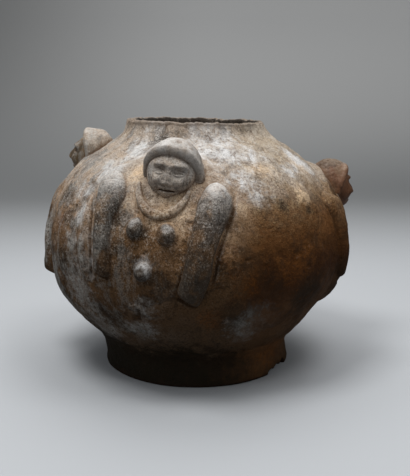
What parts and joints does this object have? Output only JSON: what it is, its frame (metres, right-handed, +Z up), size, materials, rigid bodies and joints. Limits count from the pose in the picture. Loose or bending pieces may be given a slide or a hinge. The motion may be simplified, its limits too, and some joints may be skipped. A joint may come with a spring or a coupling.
{
  "type": "earthenware pot",
  "caption": "Squat hand-built earthenware pot with a round belly, short broken neck and foot ring, and three applied human figures around the shoulder.",
  "frame": {"origin": "on the floor under the middle of the pot's overall box, close to the axis of the vessel", "axes": "+Z up through the mouth; -Y is the front, with the first figure a little to its left"},
  "size_m": [0.3468, 0.3296, 0.2627],
  "materials": {
    "clay": "matt fired earthenware, reddish brown with sooty and dusty patches",
    "dusted_clay": "matt earthenware under pale grey dust",
    "sooted_clay": "matt earthenware blackened by soot"
  },
  "bodies": {
    "root": {"vessel_body": "clay", "neck": "dusted_clay", "foot_ring": "sooted_clay", "front_torso": "clay", "front_head": "dusted_clay", "front_hair_cap": "dusted_clay", "front_necklace": "dusted_clay", "front_right_breast": "dusted_clay", "front_left_breast": "dusted_clay", "front_navel": "dusted_clay", "front_right_arm": "clay", "front_left_arm": "clay", "right_torso": "clay", "right_head": "dusted_clay", "right_hair_cap": "dusted_clay", "right_necklace": "dusted_clay", "right_right_breast": "dusted_clay", "right_left_breast": "dusted_clay", "right_navel": "dusted_clay", "right_right_arm": "clay", "right_left_arm": "clay", "left_torso": "clay", "left_head": "dusted_clay", "left_hair_cap": "dusted_clay", "left_necklace": "dusted_clay", "left_right_breast": "dusted_clay", "left_left_breast": "dusted_clay", "left_navel": "dusted_clay", "left_right_arm": "clay", "left_left_arm": "clay"}
  },
  "joints": []
}
